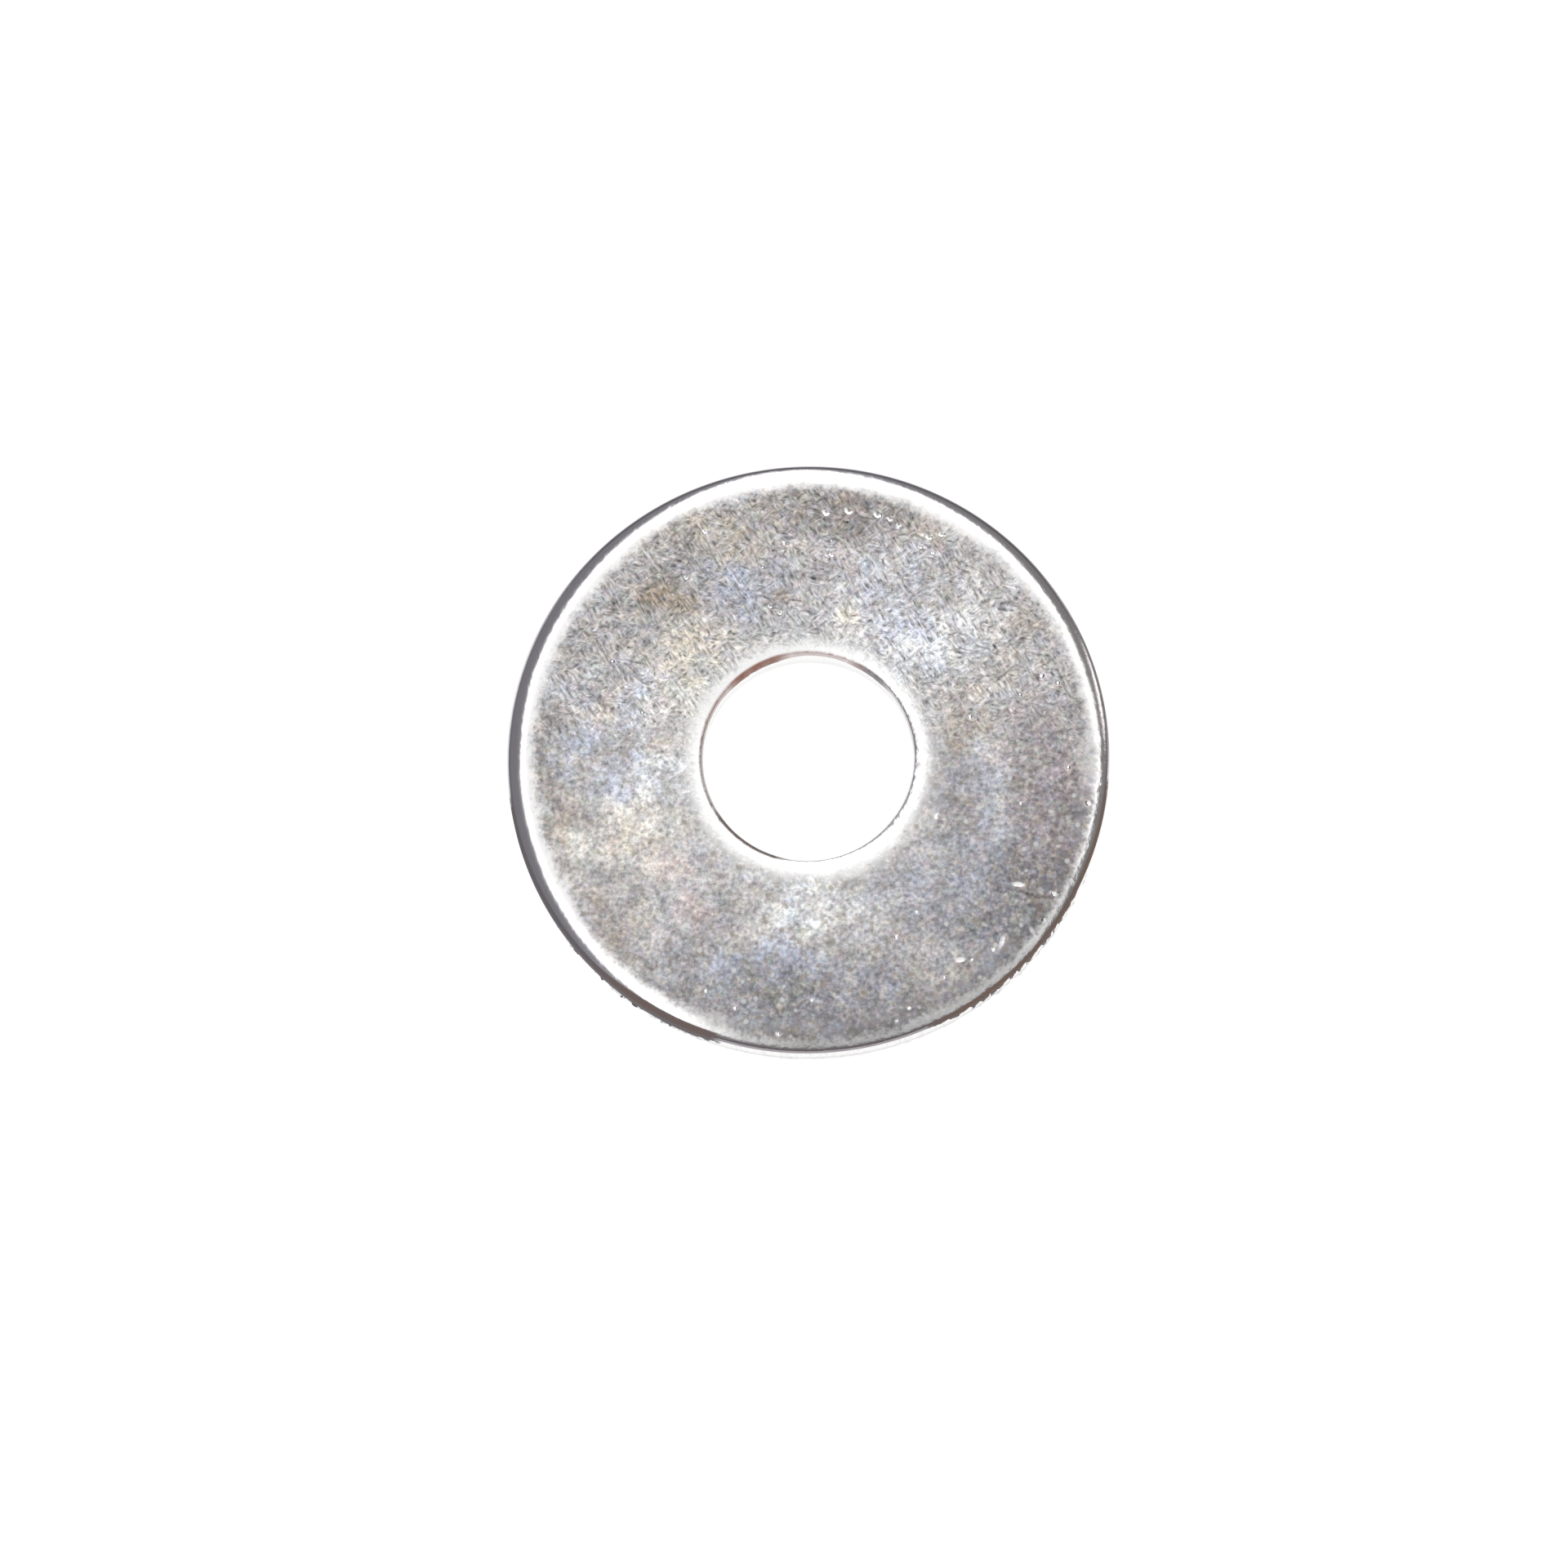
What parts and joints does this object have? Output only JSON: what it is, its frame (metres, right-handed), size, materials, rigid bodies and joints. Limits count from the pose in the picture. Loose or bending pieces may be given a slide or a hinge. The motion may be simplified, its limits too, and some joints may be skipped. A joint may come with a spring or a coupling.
{
  "type": "flat washer",
  "caption": "Large round flat washer of zinc plated steel with a central clearance hole, rounded rims on the upper face and a flat underside that spreads a bolt's clamping load.",
  "frame": {"origin": "middle of the underside, on the axis of the bore", "axes": "+Z along the bore, from the flat underside towards the face with the rounded rims; X and Y in the plane of the underside"},
  "size_m": [0.024, 0.024, 0.002],
  "materials": {
    "zinc_plated_steel": "bright zinc with a thin cloudy passivation film, finely dented, satin to semi-bright"
  },
  "bodies": {
    "root": {"washer": "zinc_plated_steel"}
  },
  "joints": []
}
